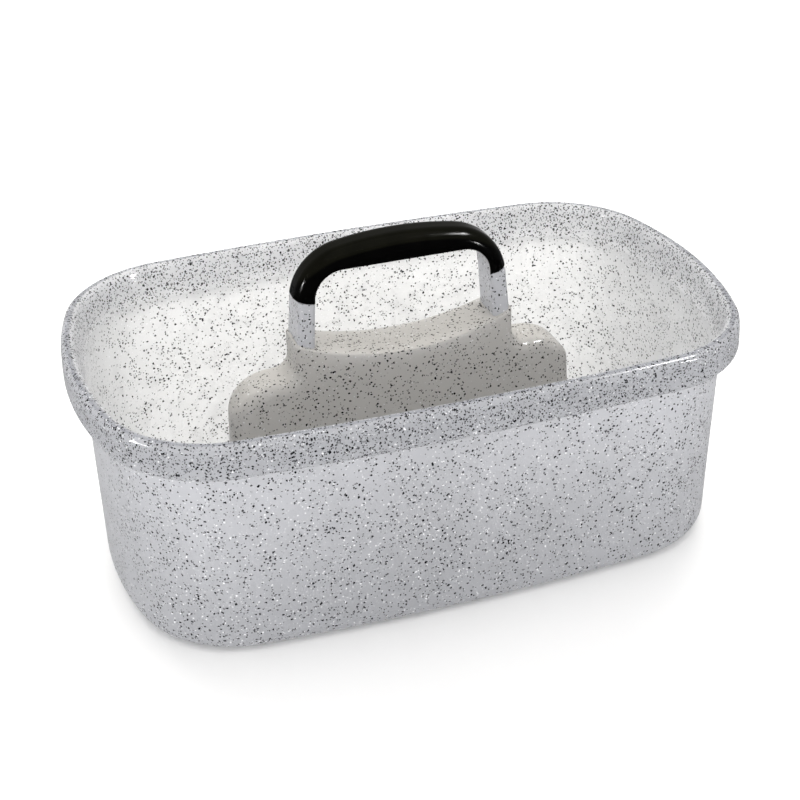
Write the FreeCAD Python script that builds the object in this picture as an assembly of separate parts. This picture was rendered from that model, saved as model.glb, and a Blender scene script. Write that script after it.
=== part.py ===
import FreeCAD, Part
import math
import os

# Carry-along shower caddy: an open oblong tub with a rolled rim, a hollow centre divider that
# clips through the tub floor, a handle arch that clips into the divider, and a black hand grip.
# Millimetres. The origin is the middle of the tub's footprint on the table, +X along the tub,
# -Y towards the front and +Z up.

# Plan outline of the rim at its widest: two long bowed sides, two bowed ends, four round corners.
RIM_HALF_LENGTH = 195.0
RIM_HALF_WIDTH = 121.7
RIM_SIDE_RADIUS = 1927.0
RIM_END_RADIUS = 245.0
RIM_CORNER_RADIUS = 70.0

# Plan outline of the walls where they reach the table.
BASE_HALF_LENGTH = 183.4
BASE_HALF_WIDTH = 108.2
BASE_SIDE_RADIUS = 1471.0
BASE_END_RADIUS = 218.0
BASE_CORNER_RADIUS = 65.7

WALL = 2.2                    # thickness of the tub and divider walls
RIM_OVERHANG = 10.4           # widest point of the rim to the outer face of the wall
CREST_HEIGHT = 143.3          # highest line of the rim above the table
CREST_INSET = 4.6             # crest line, in from the widest point
CREST_RADIUS = 4.0
FLARE_START_HEIGHT = 118.0    # where the wall starts to curve outwards
WIDEST_HEIGHT = 126.2
CURL_RADIUS = 4.0             # inward curl at the bottom of the rim's skirt

BASE_EDGE_RADIUS = 11.0       # round between the walls and the floor, outside
FLOOR = 2.4
FOOT_HEIGHT = 2.5             # the floor stands this far above the table
FOOT_INSET = 7.5              # outer face of the foot ring, in from the wall line
FOOT_WIDTH = 5.0
FOOT_STEP = 0.9               # shadow gap between the foot ring and the rounded edge
BASE_RING_TOP = 16.0          # the walls' straight part starts here
BASE_RING_WIDTH = 20.0
RING_TOP_DRAFT = 0.09         # the wall leans out this much by the time it gets there
RIB_HEIGHT = 4.0              # low rib on the floor that locates the divider
RIB_THICK = 1.8

# Centre divider: a hollow ridge, oval in plan, with a dished saddle between the handle's legs.
RIDGE_HALF_LENGTH = 105.6     # at the height where the shoulders meet the ends
RIDGE_HALF_DEPTH = 16.8       # at the saddle
RIDGE_LENGTH_AT = 90.0        # height at which the half length is given
RIDGE_SIDE_RADIUS = 1300.0
RIDGE_END_RADIUS = 60.0
RIDGE_CORNER_RADIUS = 12.0
RIDGE_TOP = 112.0             # height of the shoulders outside the handle
SHOULDER_RADIUS = 28.0        # round of the shoulders, seen from the front
SHOULDER_CENTRE_X = 79.0
TOP_EDGE_RADIUS = 6.0
END_DRAFT = 2.5               # degrees
FACE_DRAFT = 2.0              # degrees
SADDLE_LOW = 122.5            # lowest point of the saddle
SADDLE_RADIUS = 165.0
SADDLE_HALF_LENGTH = 66.5
SADDLE_COVE_RADIUS = 9.0      # inner corner between the saddle's ends and the shoulders
SADDLE_EDGE_RADIUS = 1.2
SHOULDER_TILT = 5.0           # degrees short of upright where a shoulder runs into the divider's end

# Reach of the cutting shapes, which only has to pass the piece that they cut.
CUT_HALF_LENGTH = 150.0
CUT_HALF_DEPTH = 60.0
CUT_BELOW = 5.0
RIDGE_FORM_TOP = 145.0

# Handle arch.
GRIP_TOP = 193.1
GRIP_TOP_RADIUS = 205.0       # the slow curve along the top of the grip
BEND_RADIUS = 35.0            # outer face of the grip round each shoulder of the arch
BEND_X = 30.0                 # centre of that bend
GRIP_HALF_DEPTH = 11.9
GRIP_EDGE_RADIUS = 9.0
GRIP_LIP_RADIUS = 1.2         # along the finger gap and at the grip's ends
GRIP_COVER = 1.8              # grip thickness over the arch's top and shoulders
GRIP_END_ANGLE = 10.0         # the grip ends on a radial plane this far above the bend's centre
SPAN_HALF_WIDTH = 53.0        # half of the finger gap
SPAN_TOP = 178.2              # underside of the arch
SPAN_CORNER_RADIUS = 17.0
LEG_INNER_SLOPE = 3.4         # degrees, legs spread towards their feet
LEG_OUTER_SLOPE = 4.6
LEG_HALF_DEPTH = 11.3         # just under the grip
LEG_EDGE_RADIUS = 2.4
CORE_HALF_DEPTH = 10.1        # arch inside the grip
LEG_FOOT_HEIGHT = 118.0       # the legs start here, inside the divider, and are cut to its surface
LEG_CUT_HEIGHT = 100.0        # the legs' cutting shapes start below their feet
LEG_CUT_REACH = 60.0
LEG_CUT_HALF_LENGTH = 80.0
LEG_STOCK_HALF_DEPTH = 30.0
LEG_OVERLAP = 10.0            # the drafted shape runs on past the grip's end

# Clips.
FIT_GAP = 0.15                # clearance round every clip
TONGUE_X = 60.2               # centre of the tongue under each leg
TONGUE_THICK = 5.0
TONGUE_HALF_DEPTH = 7.5
TONGUE_DROP = 9.0             # below the saddle's skin
BARB = 1.2
HOOK_X = 62.0                 # four hooks under the divider, at this distance either side
HOOK_HALF_WIDTH = 7.0
HOOK_TIP = 0.5                # hook tips above the table

FLOOR_TOP = FOOT_HEIGHT + FLOOR
V = FreeCAD.Vector


# ---------------------------------------------------------------- plan outlines

def rim_outline(inset):
    """The rim's plan outline moved inwards by the same distance everywhere."""
    return (RIM_HALF_LENGTH - inset, RIM_HALF_WIDTH - inset, RIM_SIDE_RADIUS - inset,
            RIM_END_RADIUS - inset, RIM_CORNER_RADIUS - inset)


def base_outline(inset):
    """The wall's plan outline at the table, moved inwards."""
    return (BASE_HALF_LENGTH - inset, BASE_HALF_WIDTH - inset, BASE_SIDE_RADIUS - inset,
            BASE_END_RADIUS - inset, BASE_CORNER_RADIUS - inset)


def outline_arcs(outline):
    """Eight tangent arcs, anticlockwise from the right end: centre, radius, first and last angle."""
    half_length, half_width, side_radius, end_radius, corner_radius = outline
    side_centre = V(0, half_width - side_radius, 0)
    end_centre = V(half_length - end_radius, 0, 0)
    to_side = side_radius - corner_radius
    to_end = end_radius - corner_radius
    span = end_centre - side_centre
    along = (to_side ** 2 - to_end ** 2 + span.Length ** 2) / (2 * span.Length)
    across = math.sqrt(to_side ** 2 - along ** 2)
    direction = V(span).normalize()
    corner = side_centre + direction * along + V(direction.y, -direction.x, 0) * across
    end_turn = math.degrees(math.atan2(corner.y - end_centre.y, corner.x - end_centre.x))
    side_turn = math.degrees(math.atan2(corner.y - side_centre.y, corner.x - side_centre.x))
    return [
        (end_centre, end_radius, -end_turn, end_turn),
        (corner, corner_radius, end_turn, side_turn),
        (side_centre, side_radius, side_turn, 180 - side_turn),
        (V(-corner.x, corner.y, 0), corner_radius, 180 - side_turn, 180 - end_turn),
        (-end_centre, end_radius, 180 - end_turn, 180 + end_turn),
        (-corner, corner_radius, 180 + end_turn, 180 + side_turn),
        (-side_centre, side_radius, 180 + side_turn, 360 - side_turn),
        (V(corner.x, -corner.y, 0), corner_radius, 360 - side_turn, 360 - end_turn),
    ]


def on_circle(centre, radius, angle, height):
    turn = math.radians(angle)
    return V(centre.x + radius * math.cos(turn), centre.y + radius * math.sin(turn), height)


def outline_wire(outline, height):
    edges = []
    for centre, radius, first, last in outline_arcs(outline):
        angles = (first, (first + last) / 2, last)
        points = [on_circle(centre, radius, angle, height) for angle in angles]
        edges.append(Part.Arc(*points).toShape())
    return Part.Wire(edges)


def tapered_block(low_outline, low, high_outline, high):
    return Part.makeLoft([outline_wire(low_outline, low), outline_wire(high_outline, high)], True, True)


# ---------------------------------------------------------------- tub

def rim_section():
    """Section of the rolled rim in (inset from the widest point, height): its arcs and its one line."""
    crest_z = CREST_HEIGHT - CREST_RADIUS
    inner_face = RIM_OVERHANG + WALL
    # The flare and the skirt are the two large arcs that run tangent into the crest.
    run_in = inner_face - CREST_INSET
    rise_in = crest_z - FLARE_START_HEIGHT
    flare_radius = (run_in ** 2 + rise_in ** 2 - CREST_RADIUS ** 2) / (2 * (run_in - CREST_RADIUS))
    rise_out = crest_z - WIDEST_HEIGHT
    skirt_radius = ((CREST_INSET ** 2 + rise_out ** 2 - CREST_RADIUS ** 2)
                    / (2 * (CREST_INSET - CREST_RADIUS)))
    flare_turn = math.asin(rise_in / (flare_radius - CREST_RADIUS))
    skirt_turn = math.asin(rise_out / (skirt_radius - CREST_RADIUS))
    flare_centre = (inner_face - flare_radius, FLARE_START_HEIGHT)
    crest_centre = (CREST_INSET, crest_z)
    skirt_centre = (skirt_radius, WIDEST_HEIGHT)
    curl_centre = (CURL_RADIUS, WIDEST_HEIGHT)
    arcs = [
        (flare_centre, flare_radius, 0.0, flare_turn),
        (crest_centre, CREST_RADIUS, flare_turn, math.pi - skirt_turn),
        (skirt_centre, skirt_radius, math.pi - skirt_turn, math.pi),
        (curl_centre, CURL_RADIUS, math.pi, 1.5 * math.pi),
    ]

    def arc(centre, radius, first, last):
        turns = (first, (first + last) / 2, last)
        return [(centre[0] + radius * math.cos(t), centre[1] + radius * math.sin(t)) for t in turns]

    outer = [arc(*one) for one in arcs]
    inner = [arc(centre, radius - WALL, last, first) for centre, radius, first, last in reversed(arcs)]
    lip_end = [outer[-1][2],
               (CURL_RADIUS + WALL / 2, WIDEST_HEIGHT - CURL_RADIUS + WALL / 2),
               inner[0][0]]
    return outer + [lip_end] + inner, [(inner[-1][2], outer[0][0])]


def ring_from_section(outline, arcs, lines):
    """A section in (inset, height) carried round a plan outline. The long sides take two lengths each."""
    pieces = []
    for centre, radius, first, last in outline_arcs(outline):
        lengths = 2 if radius > RIM_END_RADIUS else 1
        turn = (last - first) / lengths
        for start in (first + turn * i for i in range(lengths)):
            def place(point):
                return on_circle(centre, radius - point[0], start, point[1])
            edges = [Part.Arc(*[place(p) for p in points]).toShape() for points in arcs]
            edges += [Part.makeLine(*[place(p) for p in points]) for points in lines]
            face = Part.Face(Part.Wire(Part.__sortEdges__(edges)))
            pieces.append(face.revolve(V(centre.x, centre.y, 0), V(0, 0, 1), turn))
    return pieces


def base_section():
    """Section of the rounded edge between wall and floor, with the foot ring under it."""
    flare = RING_TOP_DRAFT
    outer_radius = BASE_EDGE_RADIUS
    inner_radius = BASE_EDGE_RADIUS - WALL
    step_z = FOOT_HEIGHT - FOOT_STEP
    step_turn = math.acos((outer_radius - step_z) / outer_radius)
    step_x = outer_radius - outer_radius * math.sin(step_turn)
    half_turn = (math.pi / 2 + step_turn) / 2
    outer_mid = (outer_radius - outer_radius * math.sin(half_turn),
                 outer_radius - outer_radius * math.cos(half_turn))
    inner_z = FLOOR_TOP + inner_radius
    inner_mid = (BASE_EDGE_RADIUS - inner_radius * math.sqrt(0.5), inner_z - inner_radius * math.sqrt(0.5))
    foot_in = FOOT_INSET + FOOT_WIDTH
    corners = [(step_x, step_z), (FOOT_INSET, step_z), (FOOT_INSET, 0), (foot_in, 0),
               (foot_in, FOOT_HEIGHT), (BASE_RING_WIDTH, FOOT_HEIGHT), (BASE_RING_WIDTH, FLOOR_TOP),
               (BASE_EDGE_RADIUS, FLOOR_TOP)]
    lines = list(zip(corners, corners[1:]))
    lines += [((WALL, inner_z), (WALL - flare, BASE_RING_TOP)),
              ((WALL - flare, BASE_RING_TOP), (-flare, BASE_RING_TOP)),
              ((-flare, BASE_RING_TOP), (0, outer_radius))]
    arcs = [((0, outer_radius), outer_mid, (step_x, step_z)),
            ((BASE_EDGE_RADIUS, FLOOR_TOP), inner_mid, (WALL, inner_z))]
    return arcs, lines


def make_tub(divider_slots):
    flare = RING_TOP_DRAFT
    outer = tapered_block(base_outline(-flare), BASE_RING_TOP,
                          rim_outline(RIM_OVERHANG), FLARE_START_HEIGHT)
    inner = tapered_block(base_outline(WALL - flare), BASE_RING_TOP,
                          rim_outline(RIM_OVERHANG + WALL), FLARE_START_HEIGHT)
    wall = outer.cut(inner)
    floor_outline = base_outline(BASE_RING_WIDTH)
    floor = Part.Face(outline_wire(floor_outline, FOOT_HEIGHT)).extrude(V(0, 0, FLOOR))

    # Low rib that locates the divider from inside.
    rib_inset = WALL + FIT_GAP
    rib_outer = Part.Face(outline_wire(ridge_outline(FLOOR_TOP, rib_inset), FLOOR_TOP - 0.5))
    rib_inner = Part.Face(outline_wire(ridge_outline(FLOOR_TOP, rib_inset + RIB_THICK), FLOOR_TOP - 1))
    rib = rib_outer.extrude(V(0, 0, RIB_HEIGHT + 0.5)).cut(rib_inner.extrude(V(0, 0, RIB_HEIGHT + 2)))

    rim = ring_from_section(rim_outline(0), *rim_section())
    base = ring_from_section(base_outline(0), *base_section())
    tub = wall.fuse([floor, rib] + rim + base)
    for slot in divider_slots:
        tub = tub.cut(slot)
    return tub


# ---------------------------------------------------------------- divider

def ridge_outline(height, inset):
    """Plan outline of the divider at this height, moved inwards."""
    half_length = RIDGE_HALF_LENGTH + (RIDGE_LENGTH_AT - height) * math.tan(math.radians(END_DRAFT))
    half_depth = RIDGE_HALF_DEPTH + (SADDLE_LOW - height) * math.tan(math.radians(FACE_DRAFT))
    return (half_length - inset, half_depth - inset, RIDGE_SIDE_RADIUS - inset,
            RIDGE_END_RADIUS - inset, RIDGE_CORNER_RADIUS - inset)


def wall_depth_at(x, height):
    """Distance of the divider's outer face from the middle plane, at this x and height."""
    half_depth = ridge_outline(height, 0)[1]
    return half_depth - RIDGE_SIDE_RADIUS + math.sqrt(RIDGE_SIDE_RADIUS ** 2 - x ** 2)


def front_view_prism(wire, half_depth):
    """Extrude an outline drawn in the XZ plane through the full depth."""
    wire.translate(V(0, -half_depth, 0))
    return Part.Face(wire).extrude(V(0, 2 * half_depth, 0))


def is_along_y(edge):
    box = edge.BoundBox
    return box.XLength < 1e-3 and box.ZLength < 1e-3


def divider_top_edges(shrink):
    """Front view of the divider's top from right to left: shoulder, cove, saddle, cove, shoulder."""
    top = RIDGE_TOP - shrink
    shoulder_radius = SHOULDER_RADIUS - shrink
    shoulder_z = RIDGE_TOP - SHOULDER_RADIUS
    cove = SADDLE_COVE_RADIUS + shrink
    half = SADDLE_HALF_LENGTH - shrink
    saddle_radius = SADDLE_RADIUS + shrink
    corner_z = SADDLE_LOW + SADDLE_RADIUS - math.sqrt(saddle_radius ** 2 - half ** 2)

    def round_shoulder(turn):
        return (SHOULDER_CENTRE_X + shoulder_radius * math.sin(turn),
                shoulder_z + shoulder_radius * math.cos(turn))

    def round_cove(turn):
        return (half + cove - cove * math.sin(turn), top + cove - cove * math.cos(turn))

    last = math.radians(90 - SHOULDER_TILT)
    shoulder = [round_shoulder(t) for t in (last, last / 2, 0)]
    flat_end = round_cove(0)
    cove_arc = [flat_end, round_cove(math.pi / 4), round_cove(math.pi / 2)]
    saddle_corner = (half, corner_z)

    def point(p, side=1):
        return V(side * p[0], 0, p[1])

    saddle_low = point((0, SADDLE_LOW - shrink))
    edges = [Part.Arc(point(saddle_corner), saddle_low, point(saddle_corner, -1)).toShape()]
    for side in (-1, 1):
        edges += [Part.Arc(*[point(p, side) for p in shoulder]).toShape(),
                  Part.makeLine(point(shoulder[2], side), point(flat_end, side)),
                  Part.Arc(*[point(p, side) for p in cove_arc]).toShape(),
                  Part.makeLine(point(cove_arc[2], side), point(saddle_corner, side))]
    return edges, shoulder[0]


def divider_form(shrink, bottom):
    """The divider's outer form with every face moved in by shrink."""
    top_edges, side = divider_top_edges(shrink)
    far = CUT_HALF_LENGTH
    low = bottom - CUT_BELOW
    box = [V(side[0], 0, side[1]), V(far, 0, side[1]), V(far, 0, low),
           V(-far, 0, low), V(-far, 0, side[1]), V(-side[0], 0, side[1])]
    outside = [Part.makeLine(a, b) for a, b in zip(box, box[1:])]
    front_view = front_view_prism(Part.Wire(Part.__sortEdges__(top_edges + outside)), CUT_HALF_DEPTH)
    body = tapered_block(ridge_outline(bottom, shrink), bottom,
                         ridge_outline(RIDGE_FORM_TOP, shrink), RIDGE_FORM_TOP)
    body = body.common(front_view)
    half = SADDLE_HALF_LENGTH - shrink
    rim = [e for e in body.Edges if is_top_rim(e, bottom, half)]
    return body.makeFillet(TOP_EDGE_RADIUS - shrink, rim)


def is_top_rim(edge, bottom, half):
    """Edges between the divider's walls and its shoulders, coves and saddle ends."""
    box = edge.BoundBox
    level = box.ZMax - box.ZMin < 1e-3 and abs(box.ZMin - bottom) < 1e-3
    inside = box.XMin > -half - 0.01 and box.XMax < half + 0.01 and box.XLength > 10
    upright = box.ZLength > 30 and box.XLength < 6
    return not (level or inside or upright or is_along_y(edge))


def round_saddle(body):
    """Break the edges of the saddle's surface, on which the handle's legs stand."""
    saddle = [f for f in body.Faces
              if f.Surface.TypeId == "Part::GeomCylinder" and abs(f.Surface.Radius - SADDLE_RADIUS) < 0.01]
    return body.makeFillet(SADDLE_EDGE_RADIUS, saddle[0].Edges)


def hook(side_x, side_y):
    """A flat hook under the divider's wall, with a barb that catches below the tub floor."""
    face = wall_depth_at(HOOK_X, FLOOR_TOP)
    section = [(face - WALL, FLOOR_TOP + 6), (face - WALL, HOOK_TIP), (face - 0.4, HOOK_TIP),
               (face + BARB, FOOT_HEIGHT - 0.8), (face + BARB, FOOT_HEIGHT), (face, FOOT_HEIGHT),
               (face, FLOOR_TOP), (face - 1.0, FLOOR_TOP + 6)]
    points = [V(side_x * HOOK_X - HOOK_HALF_WIDTH, side_y * y, z) for y, z in section]
    wire = Part.makePolygon(points + points[:1])
    return Part.Face(wire).extrude(V(2 * HOOK_HALF_WIDTH, 0, 0))


def hook_slot(side_x, side_y):
    face = wall_depth_at(HOOK_X, FLOOR_TOP)
    inner = face - WALL - BARB
    outer = face + 2 * FIT_GAP
    low_y = inner if side_y > 0 else -outer
    half_width = HOOK_HALF_WIDTH + 2 * FIT_GAP
    return Part.makeBox(2 * half_width, outer - inner, FLOOR_TOP + 6,
                        V(side_x * HOOK_X - half_width, low_y, -1))


def tongue(side, gap, barbs):
    """The flat tongue under a leg. It passes through the saddle and its barbs catch inside."""
    thick = TONGUE_THICK / 2 + gap
    depth = TONGUE_HALF_DEPTH + gap
    skin_top = SADDLE_LOW + SADDLE_RADIUS - math.sqrt(SADDLE_RADIUS ** 2 - TONGUE_X ** 2)
    low = skin_top - WALL - TONGUE_DROP
    body = Part.makeBox(2 * thick, 2 * depth, skin_top + 12 - low, V(side * TONGUE_X - thick, -depth, low))
    if not barbs:
        return body
    catch = skin_top - WALL - 2.0
    for face in (-1, 1):
        points = [V(side * TONGUE_X - thick, face * y, z) for y, z in
                  ((depth - 1, low), (depth, low), (depth + BARB, catch - 1.2),
                   (depth + BARB, catch), (depth - 1, catch))]
        body = body.fuse(Part.Face(Part.makePolygon(points + points[:1])).extrude(V(2 * thick, 0, 0)))
    return body.removeSplitter()


def make_divider(outer):
    divider = outer.cut(divider_form(WALL, FLOOR_TOP - 3))
    divider = divider.fuse([hook(x, y) for x in (-1, 1) for y in (-1, 1)]).removeSplitter()
    for side in (-1, 1):
        divider = divider.cut(tongue(side, FIT_GAP, False))
    return divider


# ---------------------------------------------------------------- handle arch and grip

def bend_centre_z():
    """Height of the bend's centre, which makes the bend run tangent into the top curve."""
    gap = GRIP_TOP_RADIUS - BEND_RADIUS
    return GRIP_TOP - GRIP_TOP_RADIUS + math.sqrt(gap ** 2 - BEND_X ** 2)


def arch_top_edges(cover, end_angle):
    """Outer line of the arch from right to left, moved in by cover, ending at end_angle."""
    centre_z = bend_centre_z()
    radius = BEND_RADIUS - cover
    top_radius = GRIP_TOP_RADIUS - cover
    meet = math.acos(BEND_X / (GRIP_TOP_RADIUS - BEND_RADIUS))

    def bend_point(turn):
        return V(BEND_X + radius * math.cos(turn), 0, centre_z + radius * math.sin(turn))

    def flip(point):
        return V(-point.x, 0, point.z)

    start = math.radians(end_angle)
    right = [bend_point(t) for t in (start, (start + meet) / 2, meet)]
    crown = V(0, 0, GRIP_TOP - cover)
    assert abs((right[2] - V(0, 0, GRIP_TOP - GRIP_TOP_RADIUS)).Length - top_radius) < 1e-6
    return [Part.Arc(*right).toShape(), Part.Arc(right[2], crown, flip(right[2])).toShape(),
            Part.Arc(*[flip(p) for p in reversed(right)]).toShape()], right[0]


def span_edges(foot_z, foot_x):
    """Line of the finger gap from left to right: leg, corner, underside, corner, leg."""
    radius = SPAN_CORNER_RADIUS
    corner_z = SPAN_TOP - radius
    corner_x = SPAN_HALF_WIDTH - radius
    middle = radius * math.sqrt(0.5)
    leg_top = V(SPAN_HALF_WIDTH, 0, corner_z)
    under = V(corner_x, 0, SPAN_TOP)
    mid = V(corner_x + middle, 0, corner_z + middle)
    foot = V(foot_x, 0, foot_z)

    def flip(point):
        return V(-point.x, 0, point.z)

    return [Part.makeLine(flip(foot), flip(leg_top)),
            Part.Arc(flip(leg_top), flip(mid), flip(under)).toShape(),
            Part.makeLine(flip(under), under),
            Part.Arc(under, mid, leg_top).toShape(),
            Part.makeLine(leg_top, foot)], foot


def arch_prism(cover, end_angle, inner_x, inner_z, outer_foot, half_depth):
    """Arch drawn from the front and extruded: the finger gap's line inside, the top line outside."""
    top_edges, top_start = arch_top_edges(cover, end_angle)
    gap_edges, gap_end = span_edges(inner_z, inner_x)
    feet = [gap_end] + ([outer_foot] if outer_foot else []) + [top_start]
    closing = []
    for a, b in zip(feet, feet[1:]):
        closing.append(Part.makeLine(a, b))
        closing.append(Part.makeLine(V(-b.x, 0, b.z), V(-a.x, 0, a.z)))
    wire = Part.Wire(Part.__sortEdges__(top_edges + gap_edges + closing))
    return front_view_prism(wire, half_depth)


def grip_end_on_inner_face():
    """Where the grip's radial end plane meets the inside of the leg."""
    slope = math.tan(math.radians(LEG_INNER_SLOPE))
    rise = math.tan(math.radians(GRIP_END_ANGLE))
    corner_z = SPAN_TOP - SPAN_CORNER_RADIUS
    centre_z = bend_centre_z()
    # x = span + slope * (corner_z - z), z = centre_z + rise * (x - BEND_X)
    x = (SPAN_HALF_WIDTH + slope * (corner_z - centre_z + rise * BEND_X)) / (1 + slope * rise)
    return x, centre_z + rise * (x - BEND_X)


def make_arch(divider_outer):
    foot_z = LEG_FOOT_HEIGHT
    corner_z = SPAN_TOP - SPAN_CORNER_RADIUS
    inner_foot = SPAN_HALF_WIDTH + (corner_z - foot_z) * math.tan(math.radians(LEG_INNER_SLOPE))
    outer_top = BEND_X + BEND_RADIUS - GRIP_COVER
    outer_spread = (bend_centre_z() - foot_z) * math.tan(math.radians(LEG_OUTER_SLOPE))
    outer_foot = V(outer_top + outer_spread, 0, foot_z)
    core = arch_prism(GRIP_COVER, 0, inner_foot, foot_z, outer_foot, CORE_HALF_DEPTH)
    core = core.makeFillet(GRIP_EDGE_RADIUS - GRIP_COVER, outer_arcs(core, CORE_HALF_DEPTH))

    # Below the grip the legs are deeper, with a little draft down to the saddle.
    legs = arch_prism(GRIP_COVER, 0, inner_foot, foot_z, outer_foot, LEG_STOCK_HALF_DEPTH)
    centre_z = bend_centre_z()
    far_x = BEND_X + LEG_CUT_REACH
    far_z = centre_z + LEG_CUT_REACH * math.tan(math.radians(GRIP_END_ANGLE))
    low = LEG_CUT_HEIGHT
    below_grip = []
    for side in (-1, 1):
        points = [V(side * x, -LEG_STOCK_HALF_DEPTH, z) for x, z in
                  ((BEND_X, centre_z), (far_x, far_z), (far_x, low), (BEND_X, low))]
        face = Part.Face(Part.makePolygon(points + points[:1]))
        below_grip.append(face.extrude(V(0, 2 * LEG_STOCK_HALF_DEPTH, 0)))
    grip_end = grip_end_on_inner_face()[1]
    spread = math.tan(math.radians(FACE_DRAFT))
    deep = LEG_HALF_DEPTH + (grip_end - low) * spread
    slim = LEG_HALF_DEPTH - LEG_OVERLAP * spread
    high = grip_end + LEG_OVERLAP
    section = [V(-LEG_CUT_HALF_LENGTH, y, z) for y, z in
               ((-deep, low), (deep, low), (slim, high), (-slim, high), (-deep, low))]
    drafted = Part.Face(Part.makePolygon(section)).extrude(V(2 * LEG_CUT_HALF_LENGTH, 0, 0))
    parts = []
    for cutter in below_grip:
        leg = legs.common(cutter).common(drafted)
        long_edges = [e for e in leg.Edges if e.BoundBox.ZLength > 20]
        parts.append(leg.makeFillet(LEG_EDGE_RADIUS, long_edges))
    arch = core.fuse(parts).removeSplitter()
    arch = arch.cut(divider_outer)
    return arch.fuse([tongue(side, 0, True) for side in (-1, 1)]).removeSplitter()


def make_grip(arch):
    inner_x, inner_z = grip_end_on_inner_face()
    body = arch_prism(0, GRIP_END_ANGLE, inner_x, inner_z, None, GRIP_HALF_DEPTH)
    body = body.makeFillet(GRIP_EDGE_RADIUS, outer_arcs(body, GRIP_HALF_DEPTH))
    body = body.makeFillet(GRIP_LIP_RADIUS, lip_edges(body))
    return body.cut(arch)


def lip_edges(grip):
    """Front and back edges along the finger gap and at the grip's ends."""
    return [e for e in grip.Edges
            if abs(abs(e.CenterOfMass.y) - GRIP_HALF_DEPTH) < 1e-3 and e.CenterOfMass.z < SPAN_TOP + 0.1
            and not (e.Curve.TypeId == "Part::GeomCircle" and e.Curve.Radius > SPAN_CORNER_RADIUS + 1)]


def outer_arcs(prism, half_depth):
    """Front and back edges of an arch along its outer line."""
    return [e for e in prism.Edges
            if abs(abs(e.CenterOfMass.y) - half_depth) < 1e-3
            and e.Curve.TypeId == "Part::GeomCircle" and e.Curve.Radius > 25]


def export(name, shape):
    if len(shape.Solids) != 1 or not shape.isValid():
        raise RuntimeError(name + " is not one valid solid: %d solids" % len(shape.Solids))
    solid = shape.Solids[0]
    box = solid.BoundBox
    print("%-16s %8.1f cm3  x %.1f..%.1f  y %.1f..%.1f  z %.1f..%.1f" % (
        name, solid.Volume / 1000, box.XMin, box.XMax, box.YMin, box.YMax, box.ZMin, box.ZMax))
    solid.exportStep("parts/" + name + ".step")


os.makedirs("parts", exist_ok=True)
slots = [hook_slot(x, y) for x in (-1, 1) for y in (-1, 1)]
divider_outer = round_saddle(divider_form(0, FLOOR_TOP))
arch = make_arch(divider_outer)
export("centre_divider", make_divider(divider_outer))
export("handle_arch", arch)
export("hand_grip", make_grip(arch))
export("tub", make_tub(slots))
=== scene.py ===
"""Shower caddy: a speckled milky tub with a centre divider, a handle arch and a black hand grip."""
import math

import bpy
from mathutils import Matrix, Vector


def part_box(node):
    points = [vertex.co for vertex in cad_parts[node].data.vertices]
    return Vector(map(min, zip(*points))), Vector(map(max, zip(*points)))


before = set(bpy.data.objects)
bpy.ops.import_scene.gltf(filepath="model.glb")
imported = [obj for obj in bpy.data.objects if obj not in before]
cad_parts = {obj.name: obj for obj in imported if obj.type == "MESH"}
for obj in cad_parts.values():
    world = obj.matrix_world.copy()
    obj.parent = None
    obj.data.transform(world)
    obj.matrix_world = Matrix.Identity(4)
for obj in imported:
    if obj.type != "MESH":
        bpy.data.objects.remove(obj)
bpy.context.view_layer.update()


def grey(level):
    return (level, level, level, 1.0)


# Plastic, as it reflects light and as it passes light from behind.
BASE_GREY = (0.58, 0.585, 0.61, 1.0)
# Painted light: the divider is the tub's plastic made warmer and lighter, standing in for warm light
# thrown onto it.
DIVIDER_LIT_GREY = (0.72, 0.695, 0.65, 1.0)
GLOW = (0.735, 0.74, 0.765, 1.0)
# Painted light: the glow of the inner faces, brighter than GLOW.
INNER_LIT_GLOW = (0.90, 0.90, 0.895, 1.0)
# Painted light: paler colour and glow on the inner face of the rim's flare.
FLARE_LIT_GREY = (0.71, 0.715, 0.725, 1.0)
FLARE_LIT_GLOW = (0.97, 0.97, 0.975, 1.0)
# Painted shade: a dark line along the rim's crest.
CREST_SHADE_GREY = (0.22, 0.23, 0.27, 1.0)
CREST_SHADE_GLOW = (0.42, 0.43, 0.47, 1.0)
# Painted shade near the floor.
FOOT_SHADE_GREY = (0.42, 0.42, 0.44, 1.0)
FLAKE_BLACK = (0.012, 0.012, 0.014, 1.0)
FLAKE_SILVER = (0.98, 0.98, 1.0, 1.0)
DEEP_FLAKE_GREY = (0.16, 0.16, 0.18, 1.0)
DEEP_FLAKE_GLOW = (0.30, 0.30, 0.32, 1.0)
PALER, DULLER = 1.02, 0.97    # the plastic's tone varies between these shares of its colour
PLASTIC_IOR = 1.5
PLASTIC_SPECULAR = 0.11
FLAKE_OPACITY = 0.9

GRIP_BLACK = grey(0.0005)
GRIP_BLACK_WORN = (0.0009, 0.0009, 0.0008, 1.0)
# Painted sheen on the grip's upward faces.
GRIP_PAINTED_SHEEN = (0.0052, 0.0052, 0.0032, 1.0)
GRIP_DUST = (0.42, 0.42, 0.40, 1.0)
GRIP_SPECULAR = 0.015

# Heights on the tub, in metres. Its materials change there.
RIM_CREST_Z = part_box("tub")[1].z
SKIRT_BOTTOM_Z = RIM_CREST_Z - 0.0205
FOOT_SHADE_Z = 0.0035

FLAKE_WOBBLE = 0.0007         # how far the outline of a flake is pushed about
FLAKE_SIZE_POWER = 1.6        # above 1, small flakes outnumber the large ones
FLAKE_EDGE = 0.05             # share of a flake's radius over which its edge fades
PALEST_FLAKE = 0.86           # how much of the plastic the palest of the black flakes covers

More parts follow.
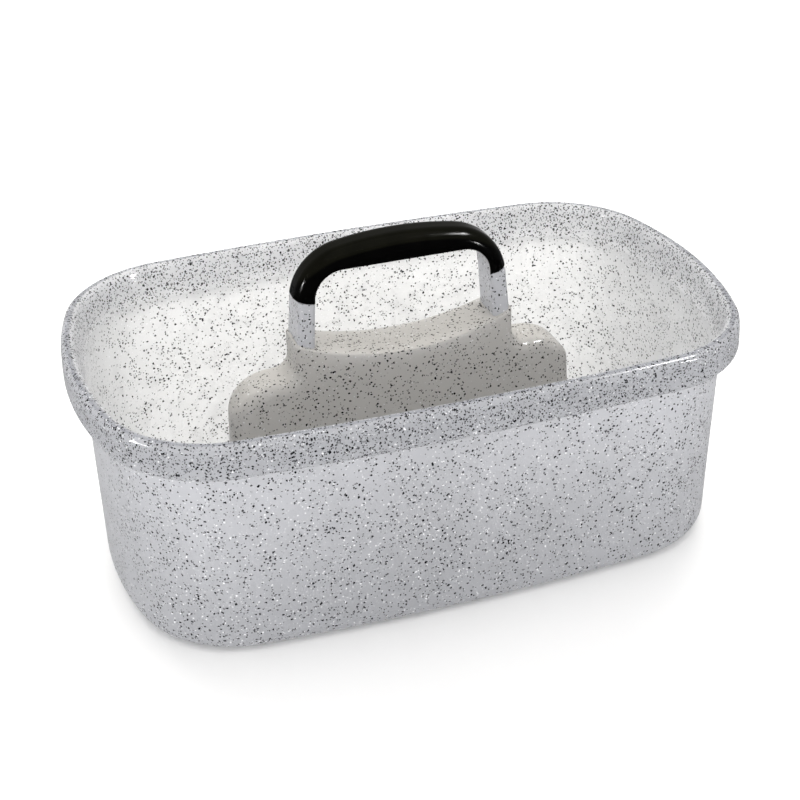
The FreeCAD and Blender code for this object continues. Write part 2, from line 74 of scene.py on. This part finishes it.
# Layers of flakes: cell, smallest and largest radius in metres, share of cells that hold a flake,
# turn of the pattern in radians, stretch of the pattern.
WALL_FLAKES = (
    (0.0023, (0.00025, 0.00057), 0.95, (0.3, 0.5, 1.1), (1.0, 1.0, 0.75)),
    (0.0022, (0.00025, 0.00052), 0.95, (1.3, 0.2, 0.4), (0.70, 1.0, 1.0)),
    (0.0021, (0.00024, 0.00047), 0.95, (0.7, 1.4, 2.0), (1.0, 0.80, 1.0)))
RIM_FLAKES = (
    (0.0017, (0.00019, 0.00040), 0.98, (0.9, 0.1, 0.7), (0.6, 1.0, 1.0)),
    (0.0016, (0.00019, 0.00038), 0.98, (1.7, 0.6, 2.4), (1.0, 1.0, 0.6)),
    (0.0017, (0.00019, 0.00040), 0.98, (0.2, 1.1, 1.9), (1.0, 0.6, 1.0)))

FLOOR_REACH = 12.0

# The glint lamps stand this far from the middle of the object.
LAMP_CENTRE = Vector((0, 0, 0.12))
LAMP_DISTANCE = 1.5


# ------------------------------------------------------------------ node helpers

class Graph:
    """A material's node tree, with short calls for the nodes used here."""

    # A Mix node has sockets of the same names for numbers, vectors and colours. These are the colours'.
    MIX_FIRST, MIX_SECOND, MIX_RESULT = 6, 7, 2

    def __init__(self, name):
        self.material = bpy.data.materials.new(name)
        self.material.use_nodes = True
        self.tree = self.material.node_tree
        self.tree.nodes.clear()

    def node(self, kind, settings=None, **inputs):
        made = self.tree.nodes.new("ShaderNode" + kind)
        for key, value in (settings or {}).items():
            setattr(made, key, value)
        for key, value in inputs.items():
            self.put(made.inputs[key.replace("_", " ")], value)
        return made

    def put(self, socket, value):
        if isinstance(value, bpy.types.NodeSocket):
            self.tree.links.new(value, socket)
        else:
            socket.default_value = value

    def math(self, operation, *values):
        made = self.node("Math", {"operation": operation})
        for socket, value in zip(made.inputs, values):
            self.put(socket, value)
        return made.outputs[0]

    def vector(self, operation, first, second, result="Vector"):
        made = self.node("VectorMath", {"operation": operation})
        self.put(made.inputs[0], first)
        self.put(made.inputs["Scale" if operation == "SCALE" else 1], second)
        return made.outputs[result]

    def mix(self, factor, first, second):
        """Colour between first and second."""
        made = self.node("Mix", {"data_type": "RGBA"}, Factor=factor)
        self.put(made.inputs[self.MIX_FIRST], first)
        self.put(made.inputs[self.MIX_SECOND], second)
        return made.outputs[self.MIX_RESULT]

    def ramp(self, value, low, high, to_low=0.0, to_high=1.0):
        """Smooth step from to_low to to_high as value goes from low to high."""
        made = self.node("MapRange", {"interpolation_type": "SMOOTHSTEP"}, Value=value)
        for key, number in (("From Min", low), ("From Max", high),
                            ("To Min", to_low), ("To Max", to_high)):
            self.put(made.inputs[key], number)
        return made.outputs["Result"]

    def noise(self, coords, scale, detail, output="Fac"):
        return self.node("TexNoise", Vector=coords, Scale=scale, Detail=detail).outputs[output]

    def surface(self, shader):
        """Connect the shader and hand over the finished material."""
        self.tree.links.new(shader.outputs[0], self.node("OutputMaterial").inputs["Surface"])
        return self.material


def flakes(g, coords, cell, radius, chance, turn, stretch, soft):
    """One layer of flakes, with cell and radius in metres: its mask and a random number per flake."""
    placed = g.node("Mapping", {"vector_type": "POINT"}, Vector=coords, Rotation=turn,
                    Scale=tuple(s / cell for s in stretch)).outputs[0]
    cells = g.node("TexVoronoi", {"voronoi_dimensions": "3D", "feature": "F1", "distance": "CHEBYCHEV"},
                   Vector=placed, Scale=1.0, Randomness=1.0)
    parts = g.node("SeparateColor", Color=cells.outputs["Color"])
    low, high = (r / cell for r in radius)
    share = g.math("POWER", parts.outputs["Green"], FLAKE_SIZE_POWER)
    size = g.math("MULTIPLY_ADD", share, high - low, low)
    inner = g.math("MULTIPLY", size, 1 - soft)
    mask = g.ramp(cells.outputs["Distance"], inner, size, 1.0, 0.0)
    there = g.math("LESS_THAN", parts.outputs["Red"], chance)
    return g.math("MULTIPLY", mask, there), parts.outputs["Blue"]


def dark_flakes(g, coords, layers, where_found):
    """The masks of several layers of black flakes, which are found where where_found is high."""
    masks = []
    for cell, radius, chance, turn, stretch in layers:
        found = g.math("MULTIPLY", where_found, chance)
        mask, luck = flakes(g, coords, cell, radius, found, turn, stretch, FLAKE_EDGE)
        masks.append(g.math("MULTIPLY", mask, g.ramp(luck, 0.0, 0.4, PALEST_FLAKE, 1.0)))
    return masks


def union(g, masks):
    """One mask that is high wherever any of the masks is."""
    total = masks[0]
    for one in masks[1:]:
        total = g.math("MAXIMUM", total, one)
    return total


def wobbled(g, where):
    """Coordinates pushed about a little, so that no flake has a straight outline."""
    offset = g.vector("SUBTRACT", g.noise(where, 1100.0, 2.0, "Color"), (0.5, 0.5, 0.5))
    return g.vector("ADD", where, g.vector("SCALE", offset, FLAKE_WOBBLE))


def scuffs(g, where, turn, scale, low, high):
    """Fine long marks left by handling."""
    stretched = g.node("Mapping", Vector=where, Rotation=turn, Scale=scale).outputs[0]
    return g.ramp(g.noise(stretched, 1.0, 3.0), low, high)


# ------------------------------------------------------------------ materials

def speckled_plastic(name, tint, see_through, silver, rim):
    """Milky translucent plastic with black, grey and silver flakes moulded in."""
    g = Graph(name)
    where = g.node("TexCoord").outputs["Object"]
    coords = wobbled(g, where)

    # Flakes gather in loose clusters and leave some clear patches.
    cluster = g.ramp(g.noise(where, 75.0, 2.0), 0.36, 0.62, 0.35, 1.0)
    dark = dark_flakes(g, coords, WALL_FLAKES, cluster)
    if rim:
        # The rim is a double layer, so the flakes of both layers show.
        height = g.node("SeparateXYZ", Vector=where).outputs["Z"]
        on_rim = g.ramp(height, SKIRT_BOTTOM_Z - 0.0015, SKIRT_BOTTOM_Z + 0.001)
        dark += dark_flakes(g, coords, RIM_FLAKES, on_rim)
    dark = union(g, dark)

    # Flakes deeper in the wall show as soft grey smudges.
    deep, deep_luck = flakes(g, coords, 0.0026, (0.0004, 0.0008), 0.60,
                             (1.9, 0.8, 0.3), (1.0, 1.0, 0.8), 0.9)
    deep = g.math("MULTIPLY", deep, g.ramp(deep_luck, 0.0, 1.0, 0.08, 0.30))
    light, light_luck = flakes(g, coords, 0.0019, (0.00022, 0.00045), silver,
                               (0.5, 2.2, 0.9), (1.0, 0.7, 1.0), 0.1)
    light = g.math("MULTIPLY", light, g.ramp(light_luck, 0.0, 0.6, 0.45, 0.95))

    pale = tuple(min(1.0, c * PALER) for c in tint[:3]) + (1.0,)
    dull = tuple(c * DULLER for c in tint[:3]) + (1.0,)
    body = g.mix(g.ramp(g.noise(where, 22.0, 3.0), 0.35, 0.65), dull, pale)
    body = g.mix(g.ramp(g.noise(where, 160.0, 2.0), 0.4, 0.7, 0.0, 0.35), body, dull)
    glow_colour = GLOW
    see = see_through
    if rim:
        # Painted light: inner faces glow brighter than outer faces, standing in for the brighter light
        # inside the tub. outward is positive on outer faces.
        level_normal = g.vector("MULTIPLY", g.node("NewGeometry").outputs["Normal"], (1.0, 1.0, 0.0))
        outward = g.vector("DOT_PRODUCT", level_normal, where, "Value")
        glow_colour = g.mix(g.ramp(outward, 0.0, 0.02), INNER_LIT_GLOW, GLOW)
        # Inside the flare there is one layer only. Painted light: its colour and glow are made paler and
        # it passes more light, so it reads lighter than the folded skirt.
        flare = g.math("MULTIPLY", on_rim, g.ramp(outward, -0.06, -0.01, 1.0, 0.0))
        body = g.mix(g.math("MULTIPLY", flare, 0.8), body, FLARE_LIT_GREY)
        glow_colour = g.mix(flare, glow_colour, FLARE_LIT_GLOW)
        see = g.math("MULTIPLY_ADD", flare, 0.18, see_through)
        # Painted shade: a thin band along the crest's fold is darkened in colour and in glow.
        crest = g.ramp(height, RIM_CREST_Z - 0.0005, RIM_CREST_Z - 0.0001)
        body = g.mix(g.math("MULTIPLY", crest, 0.6), body, CREST_SHADE_GREY)
        glow_colour = g.mix(g.math("MULTIPLY", crest, 0.5), glow_colour, CREST_SHADE_GLOW)
        # Painted shade: the plastic darkens towards the floor over the bottom FOOT_SHADE_Z.
        body = g.mix(g.ramp(height, 0.0, FOOT_SHADE_Z, 0.35, 0.0), body, FOOT_SHADE_GREY)
    body = g.mix(deep, body, DEEP_FLAKE_GREY)
    body = g.mix(light, body, FLAKE_SILVER)
    colour = g.mix(dark, body, FLAKE_BLACK)

    # Handling leaves faint scuffs, which show in the gloss more than in the colour.
    scuff = scuffs(g, where, (0.4, 0.2, 0.5), (60.0, 900.0, 350.0), 0.60, 0.78)
    gloss = g.ramp(g.noise(where, 48.0, 3.0), 0.3, 0.7, 0.10, 0.16)
    rough = g.math("MULTIPLY_ADD", scuff, 0.08, gloss)
    relief = g.math("MULTIPLY_ADD", g.noise(where, 1400.0, 1.0), 0.05, g.noise(where, 55.0, 2.0))
    bump = g.node("Bump", Strength=0.14, Distance=0.0004, Height=relief).outputs[0]
    plastic = g.node("BsdfPrincipled", Base_Color=colour, Roughness=rough, Normal=bump, IOR=PLASTIC_IOR,
                     Specular_IOR_Level=PLASTIC_SPECULAR)
    lit = g.mix(dark, g.mix(deep, glow_colour, DEEP_FLAKE_GLOW), FLAKE_BLACK)
    glow = g.node("BsdfTranslucent", Color=lit, Normal=bump)
    clear = g.math("MULTIPLY_ADD", g.math("MAXIMUM", dark, light), -FLAKE_OPACITY, 1.0)
    both = g.node("MixShader")
    for socket, value in zip(both.inputs, (g.math("MULTIPLY", clear, see), plastic.outputs[0],
                                           glow.outputs[0])):
        g.put(socket, value)
    return g.surface(both)


def grip_plastic(name):
    """Smooth satin black, with a little dust, fine handling marks and a painted sheen where it faces up.
    """
    g = Graph(name)
    where = g.node("TexCoord").outputs["Object"]
    dust, luck = flakes(g, where, 0.0035, (0.00010, 0.00026), 0.30, (0.4, 0.9, 1.3), (1.0, 1.0, 0.8), 0.6)
    dust = g.math("MULTIPLY", dust, g.ramp(luck, 0.0, 1.0, 0.08, 0.45))
    tone = g.noise(where, 90.0, 3.0)
    body = g.mix(g.ramp(tone, 0.35, 0.65), GRIP_BLACK, GRIP_BLACK_WORN)
    # Painted sheen: a faint olive band where the surface faces up stands in for a reflection on the black.
    upward = g.node("SeparateXYZ", Vector=g.node("NewGeometry").outputs["Normal"]).outputs["Z"]
    painted_sheen = g.math("MULTIPLY", g.ramp(upward, 0.38, 0.54), g.ramp(tone, 0.2, 0.8, 0.7, 1.0))
    body = g.mix(painted_sheen, body, GRIP_PAINTED_SHEEN)
    colour = g.mix(dust, body, GRIP_DUST)
    scuff = scuffs(g, where, (0.1, 0.3, 0.2), (120.0, 1500.0, 700.0), 0.58, 0.75)
    rough = g.math("MULTIPLY_ADD", scuff, 0.10, g.ramp(tone, 0.3, 0.7, 0.11, 0.15))
    relief = g.math("MULTIPLY_ADD", g.noise(where, 2600.0, 1.0), 0.06, g.noise(where, 70.0, 2.0))
    bump = g.node("Bump", Strength=0.12, Distance=0.0003, Height=relief).outputs[0]
    return g.surface(g.node("BsdfPrincipled", Base_Color=colour, Roughness=rough, Normal=bump,
                            IOR=PLASTIC_IOR, Specular_IOR_Level=GRIP_SPECULAR))


def floor_paint():
    g = Graph("floor_paint")
    tone = g.noise(g.node("TexCoord").outputs["Object"], 6.0, 2.0)
    colour = g.mix(tone, grey(0.94), grey(0.96))
    return g.surface(g.node("BsdfPrincipled", Base_Color=colour, Roughness=0.75, Specular_IOR_Level=0.0))


# ------------------------------------------------------------------ object

def dress(node, material):
    """Give a CAD node its material."""
    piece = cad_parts[node]
    piece.data.materials.clear()
    piece.data.materials.append(material)


dress("tub", speckled_plastic("tub_speckled", BASE_GREY, see_through=0.60, silver=1.0, rim=True))
dress("centre_divider",
      speckled_plastic("divider_speckled", DIVIDER_LIT_GREY, see_through=0.50, silver=0.4, rim=False))
dress("handle_arch", speckled_plastic("arch_speckled", BASE_GREY, see_through=0.32, silver=0.5, rim=False))
dress("hand_grip", grip_plastic("grip_black"))


# ------------------------------------------------------------------ stage

def place(name, data):
    """A new object in the scene."""
    made = bpy.data.objects.new(name, data)
    bpy.context.scene.collection.objects.link(made)
    return made


def stage_floor():
    """A plain pale floor, which reflects no lamp."""
    mesh = bpy.data.meshes.new("floor")
    corners = [(x * FLOOR_REACH, y * FLOOR_REACH, 0) for x, y in ((-1, -1), (1, -1), (1, 1), (-1, 1))]
    mesh.from_pydata(corners, [], [(0, 1, 2, 3)])
    floor = place("floor", mesh)
    floor.visible_glossy = False
    mesh.materials.append(floor_paint())


def place_camera():
    """Camera at the photograph's viewing angle."""
    azimuth, elevation, roll = (math.radians(a) for a in (-18.76, 28.79, -1.25))
    right = Vector((math.cos(azimuth), math.sin(azimuth), 0))
    ahead = Vector((-math.sin(azimuth) * math.cos(elevation), math.cos(azimuth) * math.cos(elevation),
                    -math.sin(elevation)))
    up = right.cross(ahead)
    turned_right = math.cos(roll) * right + math.sin(roll) * up
    turned_up = math.cos(roll) * up - math.sin(roll) * right
    lens = bpy.data.cameras.new("camera")
    lens.sensor_width = 36.0
    lens.lens = 71.09
    lens.shift_x = -0.0324
    lens.shift_y = -0.0499
    lens.clip_start = 0.01
    lens.clip_end = 60.0
    camera = place("camera", lens)
    camera.matrix_world = (Matrix.Translation((-0.25096, -0.78514, 0.56000))
                           @ Matrix((turned_right, turned_up, -ahead)).transposed().to_4x4())
    bpy.context.scene.camera = camera


def softbox(name, position, aim, size, power, colour=(1.0, 1.0, 1.0)):
    """A large lamp that lights the room but doesn't show as a reflection."""
    lamp = bpy.data.lights.new(name, "AREA")
    lamp.shape = "RECTANGLE"
    lamp.size, lamp.size_y = size
    lamp.energy = power
    lamp.color = colour
    holder = place(name, lamp)
    holder.location = position
    holder.rotation_euler = (Vector(aim) - Vector(position)).to_track_quat("-Z", "Y").to_euler()
    holder.visible_glossy = False
    return holder


def glint_lamp(name, position, aim, size, spread, power):
    """A gridded lamp that shows only as a small reflection."""
    lamp = softbox(name, position, aim, size, power)
    lamp.data.spread = math.radians(spread)
    lamp.visible_glossy = True
    lamp.visible_diffuse = False
    lamp.visible_transmission = False
    lamp.visible_camera = False


def light_room():
    """Soft light from the room and overhead, from behind and from the front left, and the glints."""
    world = bpy.data.worlds.new("room")
    bpy.context.scene.world = world
    world.use_nodes = True
    background = world.node_tree.nodes["Background"]
    background.inputs["Color"].default_value = grey(1.0)
    background.inputs["Strength"].default_value = 0.67
    sun = bpy.data.lights.new("overhead", "SUN")
    sun.energy = 0.90
    sun.angle = math.radians(60)
    sun.color = (1.0, 0.985, 0.955)
    place("overhead", sun).rotation_euler = Vector((0.03, -0.20, 1.0)).to_track_quat("Z", "Y").to_euler()
    softbox("back_softbox", (0.28, 1.48, 0.75), (0, 0, 0.10), (2.4, 1.3), 46.0, (1.0, 0.985, 0.95))
    softbox("front_fill", (-1.0, -1.5, 0.35), (0, 0, 0.05), (1.6, 0.7), 8.0)

    # Small glints on the rim's corners, the shoulder and the grip.
    for name, azimuth, elevation, size, aim, spread, power in (
            ("left_glint", -173, 14, (0.70, 0.26), (-0.12, -0.06, 0.15), 9.0, 1.3),
            ("right_glint", -47, 9, (0.50, 0.22), (0.162, -0.126, 0.125), 8.0, 0.7),
            ("shoulder_glint", -22, 50, (0.60, 0.30), (0.080, -0.012, 0.11), 20.0, 3.6)):
        turn, lift = math.radians(azimuth), math.radians(elevation)
        ray = Vector((math.cos(turn) * math.cos(lift), math.sin(turn) * math.cos(lift), math.sin(lift)))
        glint_lamp(name, LAMP_CENTRE + LAMP_DISTANCE * ray, aim, size, spread, power)

    # Lamps close to the rim draw the two streaks on its crest. Their grids face away from the far rim.
    glint_lamp("left_crest_light", (-0.507, -0.135, 0.214), (-0.157, -0.229, 0.045),
               (0.17, 0.06), 66.0, 2.6)
    glint_lamp("right_crest_light", (0.373, -0.361, 0.196), (0.269, -0.139, 0.024),
               (0.12, 0.055), 73.0, 0.45)


stage_floor()
place_camera()
light_room()
bpy.context.scene.view_settings.view_transform = "Standard"
bpy.context.scene.view_settings.exposure = 0.2
